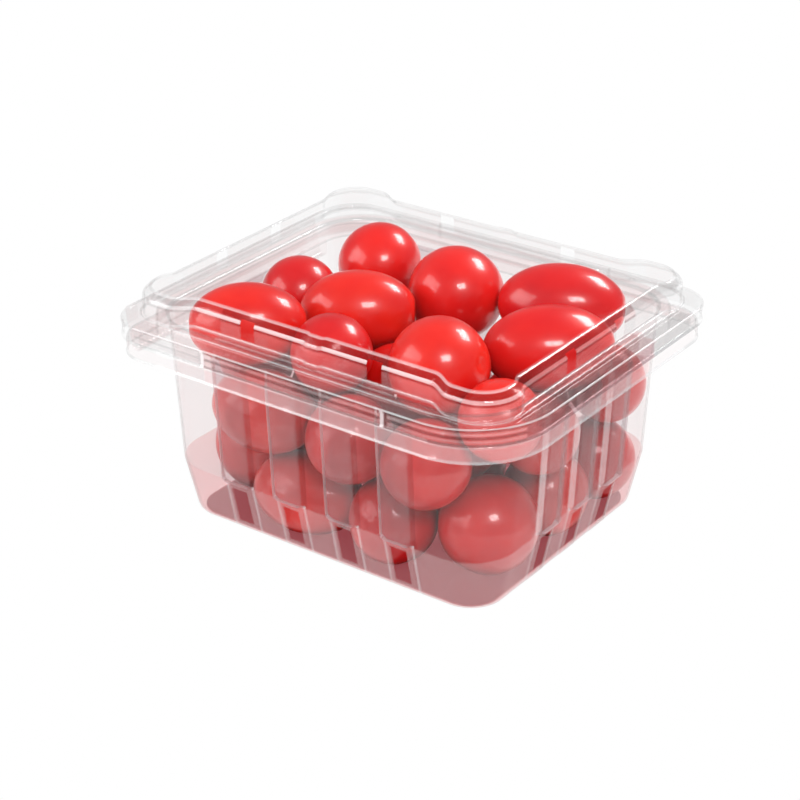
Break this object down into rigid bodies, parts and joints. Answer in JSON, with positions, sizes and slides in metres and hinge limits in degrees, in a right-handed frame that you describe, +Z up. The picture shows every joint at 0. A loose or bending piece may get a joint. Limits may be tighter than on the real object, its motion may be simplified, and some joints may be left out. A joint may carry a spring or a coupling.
{
  "type": "plastic clamshell pack",
  "caption": "Clear hinged plastic pack with fluted tray walls, drain slots, a vented lid and a stepped rim, closed and filled with small glossy red tomatoes",
  "frame": {"origin": "On the surface that the pack stands on, under the middle of the tray's floor", "axes": "+X along the long sides from the hinge to the opening edge, +Z up, +Y across"},
  "size_m": [0.1538, 0.1274, 0.08],
  "materials": {
    "clear_sheet": "glossy",
    "tomato_skin": "glossy"
  },
  "bodies": {
    "base": {"base_tray": "clear_sheet", "tomato_01": "tomato_skin", "tomato_02": "tomato_skin", "tomato_03": "tomato_skin", "tomato_04": "tomato_skin", "tomato_05": "tomato_skin", "tomato_06": "tomato_skin", "tomato_07": "tomato_skin", "tomato_08": "tomato_skin", "tomato_09": "tomato_skin", "tomato_10": "tomato_skin", "tomato_11": "tomato_skin", "tomato_12": "tomato_skin", "tomato_13": "tomato_skin", "tomato_14": "tomato_skin", "tomato_15": "tomato_skin", "tomato_16": "tomato_skin", "tomato_17": "tomato_skin", "tomato_18": "tomato_skin", "tomato_19": "tomato_skin", "tomato_20": "tomato_skin", "tomato_21": "tomato_skin", "tomato_22": "tomato_skin", "tomato_23": "tomato_skin", "tomato_24": "tomato_skin", "tomato_25": "tomato_skin", "tomato_26": "tomato_skin", "tomato_27": "tomato_skin", "tomato_28": "tomato_skin", "tomato_29": "tomato_skin", "tomato_30": "tomato_skin", "tomato_31": "tomato_skin", "tomato_32": "tomato_skin", "tomato_33": "tomato_skin", "tomato_34": "tomato_skin", "tomato_35": "tomato_skin"},
    "lid": {"lid": "clear_sheet"}
  },
  "joints": [
    {"name": "lid_hinge", "type": "hinge", "parent": "base", "child": "lid", "pos_m": [-0.0791, 0, 0.0668], "axis": [0, -1, 0], "range_deg": [0, 180]}
  ]
}
